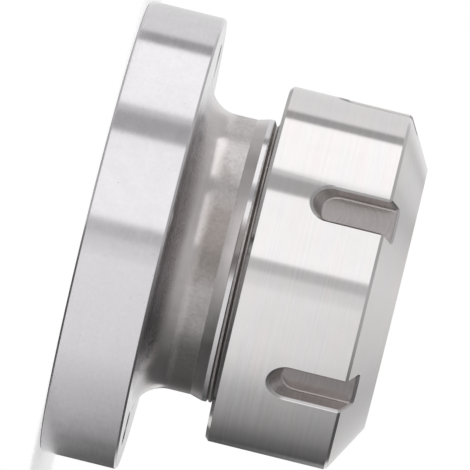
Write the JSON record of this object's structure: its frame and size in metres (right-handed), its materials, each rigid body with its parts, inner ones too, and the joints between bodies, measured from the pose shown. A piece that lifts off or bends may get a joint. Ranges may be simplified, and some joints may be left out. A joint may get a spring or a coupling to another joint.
{
  "type": "collet chuck",
  "caption": "Flange-mounted steel collet chuck: a turned body with a tapered socket, a slit collet, and a round clamping nut with spanner slots.",
  "frame": {"origin": "centre of the flange's back face, which the chuck stands on", "axes": "+Z along the chuck's axis from the flange to the nut; X and Y through the bolt holes"},
  "size_m": [0.08, 0.08, 0.0533],
  "materials": {
    "body_steel": "fine turned, satin",
    "nut_steel": "fine turned, bright",
    "collet_steel": "ground, bright"
  },
  "bodies": {
    "holder": {"chuck_body": "body_steel"},
    "collet": {"collet": "collet_steel"},
    "nut": {"clamping_nut": "nut_steel"}
  },
  "joints": [
    {"name": "collet_draw", "type": "slide", "parent": "holder", "child": "collet", "axis": [0, 0, 1], "range_m": [0, 0.015]},
    {"name": "nut_turn", "type": "hinge", "parent": "collet", "child": "nut", "pos_m": [0, 0, 0.04], "axis": [0, 0, 1], "range_deg": [0, 3600]}
  ],
  "couplings": [
    {"joint": "collet_draw", "follows": "nut_turn", "m_per_rad": 0.00023873}
  ]
}
